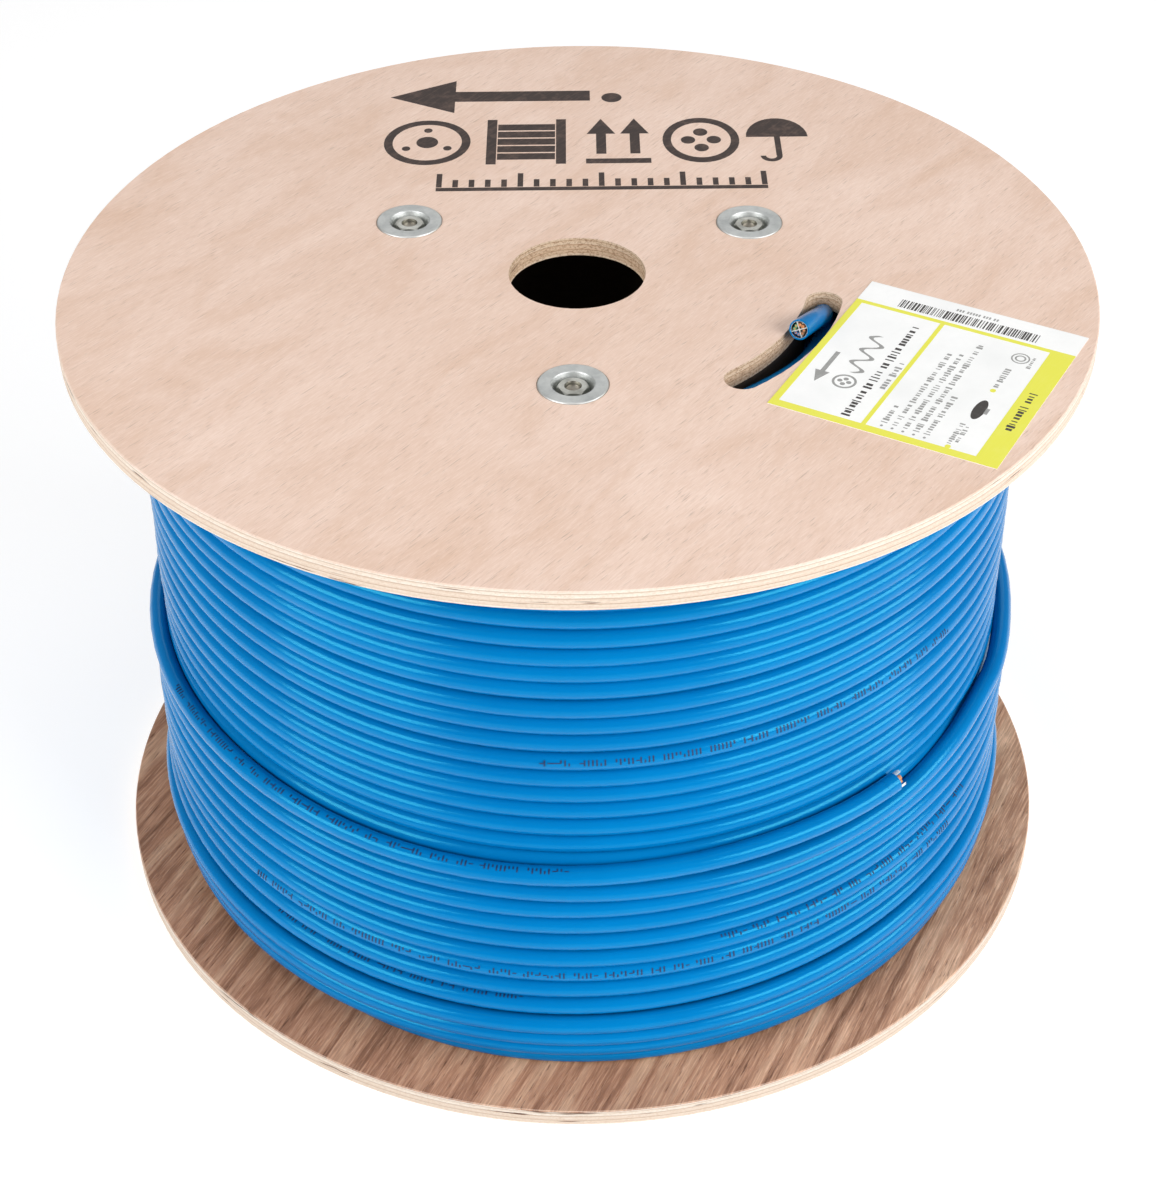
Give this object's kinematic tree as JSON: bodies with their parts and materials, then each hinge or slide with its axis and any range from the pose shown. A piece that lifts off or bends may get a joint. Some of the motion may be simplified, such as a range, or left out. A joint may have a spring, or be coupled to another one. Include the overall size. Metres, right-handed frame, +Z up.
{
  "type": "cable reel",
  "caption": "Plywood cable reel on end, with a cardboard core held by tie rods, wound with shielded network cable; an arbor hole runs through both flanges.",
  "frame": {"origin": "centre of the lower flange's outer face, on the surface the reel stands on", "axes": "+Z up along the reel's axis; +X and +Y are level, and the cable slot in the upper flange lies between +X and -Y"},
  "size_m": [0.3809, 0.381, 0.2582],
  "materials": {
    "flange_plywood": "sanded bare plywood, unvarnished",
    "core_board": "spiral-wound paperboard, matt",
    "zinc_steel": "zinc plated",
    "label_stock": "printed self-adhesive label, satin",
    "cable_jacket": "bright blue extruded jacket, satin",
    "foil_shield": "laminated foil, bright",
    "filler_plastic": "extruded cross, natural white",
    "tinned_copper": "tinned",
    "bare_copper": "bare copper, cut bright",
    "pair_orange": "solid-colour insulation",
    "pair_green": "solid-colour insulation",
    "pair_blue": "solid-colour insulation",
    "pair_brown": "solid-colour insulation"
  },
  "bodies": {
    "root": {"bottom_flange": "flange_plywood", "top_flange": "flange_plywood", "core_tube": "core_board", "tie_rod_1": "zinc_steel", "top_washer_1": "zinc_steel", "top_nut_1": "zinc_steel", "bottom_washer_1": "zinc_steel", "bottom_nut_1": "zinc_steel", "tie_rod_2": "zinc_steel", "top_washer_2": "zinc_steel", "top_nut_2": "zinc_steel", "bottom_washer_2": "zinc_steel", "bottom_nut_2": "zinc_steel", "tie_rod_3": "zinc_steel", "top_washer_3": "zinc_steel", "top_nut_3": "zinc_steel", "bottom_washer_3": "zinc_steel", "bottom_nut_3": "zinc_steel", "product_label": "label_stock", "cable_inner_layers": "cable_jacket", "cable_outer_layers": "cable_jacket", "cable_outer_tail": "cable_jacket", "cable_inner_end": "cable_jacket", "outer_end_foil": "foil_shield", "outer_end_filler": "filler_plastic", "outer_end_drain_wire": "tinned_copper", "outer_end_copper": "bare_copper", "outer_end_pair_orange": "pair_orange", "outer_end_pair_green": "pair_green", "outer_end_pair_blue": "pair_blue", "outer_end_pair_brown": "pair_brown", "inner_end_foil": "foil_shield", "inner_end_filler": "filler_plastic", "inner_end_drain_wire": "tinned_copper", "inner_end_copper": "bare_copper", "inner_end_pair_orange": "pair_orange", "inner_end_pair_green": "pair_green", "inner_end_pair_blue": "pair_blue", "inner_end_pair_brown": "pair_brown"}
  },
  "joints": []
}
